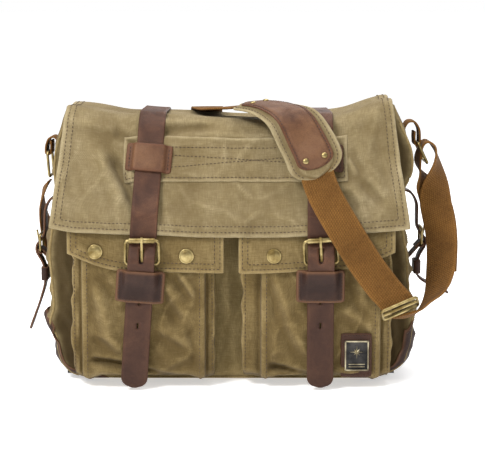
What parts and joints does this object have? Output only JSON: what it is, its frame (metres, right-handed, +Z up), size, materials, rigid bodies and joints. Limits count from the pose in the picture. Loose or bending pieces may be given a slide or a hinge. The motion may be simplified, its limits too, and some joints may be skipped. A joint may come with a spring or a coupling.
{
  "type": "messenger bag",
  "caption": "Soft canvas messenger bag with a full front flap, bellows pockets, leather buckle straps and a padded webbing shoulder strap.",
  "frame": {"origin": "centre of the base, on the surface that the bag stands on", "axes": "+Z up, -Y towards the front with the pockets and buckles, +X towards the bag's right end as seen from the front"},
  "size_m": [0.5029, 0.2093, 0.3237],
  "materials": {
    "canvas": "washed cotton canvas, khaki",
    "lining_cloth": "plain cotton lining",
    "board": "stiff base board",
    "strap_leather": "waxed brown leather, worn edges",
    "dark_leather": "waxed dark brown leather",
    "webbing": "ribbed cotton webbing, tan",
    "aged_brass": "aged brass, satin",
    "pewter": "dark pewter plate",
    "magnet_steel": "plated"
  },
  "bodies": {
    "root": {"front_panel": "canvas", "back_panel": "canvas", "left_gusset": "canvas", "right_gusset": "canvas", "bottom_panel": "canvas", "left_pocket": "canvas", "right_pocket": "canvas", "lining": "lining_cloth", "laptop_divider": "lining_cloth", "base_board": "board", "left_side_strap": "strap_leather", "right_side_strap": "strap_leather", "badge_patch": "strap_leather", "right_ring_tab": "strap_leather", "left_corner_patch": "dark_leather", "right_corner_patch": "dark_leather", "left_side_chape": "dark_leather", "right_side_chape": "dark_leather", "left_side_keeper": "dark_leather", "right_side_keeper": "dark_leather", "strap_anchors": "dark_leather", "webbing_loop": "webbing", "webbing_rear": "webbing", "left_ring_tab": "webbing", "snap_sockets": "aged_brass", "left_side_buckle": "aged_brass", "right_side_buckle": "aged_brass", "badge_plate": "pewter", "pocket_magnets": "magnet_steel"},
    "left_ring": {"left_ring": "aged_brass"},
    "right_ring": {"right_ring": "aged_brass"},
    "left_side_prong": {"left_side_prong": "aged_brass"},
    "right_side_prong": {"right_side_prong": "aged_brass"},
    "main_flap": {"main_flap": "canvas", "flap_band": "canvas", "left_upper_keeper": "strap_leather", "right_upper_keeper": "strap_leather", "left_strap": "strap_leather", "right_strap": "strap_leather", "left_chape": "dark_leather", "right_chape": "dark_leather", "left_lower_keeper": "dark_leather", "right_lower_keeper": "dark_leather", "left_buckle": "aged_brass", "right_buckle": "aged_brass", "flap_magnets": "magnet_steel"},
    "left_prong": {"left_prong": "aged_brass"},
    "right_prong": {"right_prong": "aged_brass"},
    "left_roller": {"left_roller": "aged_brass"},
    "right_roller": {"right_roller": "aged_brass"},
    "left_pocket_flap": {"left_pocket_flap": "canvas", "left_snap_caps": "aged_brass"},
    "right_pocket_flap": {"right_pocket_flap": "canvas", "right_snap_caps": "aged_brass"},
    "shoulder_strap": {"shoulder_pad": "canvas", "pad_leather": "strap_leather", "pad_rivets": "aged_brass", "webbing_front": "webbing", "webbing_top": "webbing", "strap_slider": "aged_brass"}
  },
  "joints": [
    {"name": "main_flap_open", "type": "hinge", "parent": "root", "child": "main_flap", "pos_m": [0, 0.062, 0.3023], "axis": [-1, 0, 0], "range_deg": [0, 100]},
    {"name": "shoulder_strap_lift", "type": "hinge", "parent": "root", "child": "shoulder_strap", "pos_m": [0, 0.062, 0.3023], "axis": [-1, 0, 0], "range_deg": [0, 100]},
    {"name": "left_pocket_open", "type": "hinge", "parent": "root", "child": "left_pocket_flap", "pos_m": [-0.097, -0.0645, 0.205], "axis": [-1, 0, 0], "range_deg": [0, 110]},
    {"name": "right_pocket_open", "type": "hinge", "parent": "root", "child": "right_pocket_flap", "pos_m": [0.097, -0.0645, 0.205], "axis": [-1, 0, 0], "range_deg": [0, 110]},
    {"name": "left_prong_lift", "type": "hinge", "parent": "main_flap", "child": "left_prong", "pos_m": [-0.09805, -0.1165, 0.14362], "axis": [1, 0, 0], "range_deg": [0, 15]},
    {"name": "right_prong_lift", "type": "hinge", "parent": "main_flap", "child": "right_prong", "pos_m": [0.10191, -0.1165, 0.14403], "axis": [0.9976, 0, 0.0698], "range_deg": [0, 15]},
    {"name": "left_roller_spin", "type": "hinge", "parent": "main_flap", "child": "left_roller", "pos_m": [-0.09805, -0.1165, 0.16962], "axis": [1, 0, 0], "continuous": true},
    {"name": "right_roller_spin", "type": "hinge", "parent": "main_flap", "child": "right_roller", "pos_m": [0.10009, -0.1165, 0.16997], "axis": [0.9976, 0, 0.0698], "continuous": true},
    {"name": "left_ring_swing", "type": "hinge", "parent": "root", "child": "left_ring", "pos_m": [-0.2128, 0, 0.2595], "axis": [0, 1, 0], "range_deg": [-8, 8]},
    {"name": "right_ring_swing", "type": "hinge", "parent": "root", "child": "right_ring", "pos_m": [0.2176, 0, 0.27], "axis": [0, 1, 0], "range_deg": [-8, 8]},
    {"name": "left_side_prong_lift", "type": "hinge", "parent": "root", "child": "left_side_prong", "pos_m": [-0.224, 0, 0.142], "axis": [0, -1, 0], "range_deg": [0, 15]},
    {"name": "right_side_prong_lift", "type": "hinge", "parent": "root", "child": "right_side_prong", "pos_m": [0.224, 0, 0.15], "axis": [0, 1, 0], "range_deg": [0, 15]}
  ],
  "couplings": [
    {"joint": "shoulder_strap_lift", "follows": "main_flap_open", "ratio": 1},
    {"joint": "left_pocket_open", "follows": "main_flap_open", "ratio": 1.1},
    {"joint": "right_pocket_open", "follows": "main_flap_open", "ratio": 1.1}
  ]
}
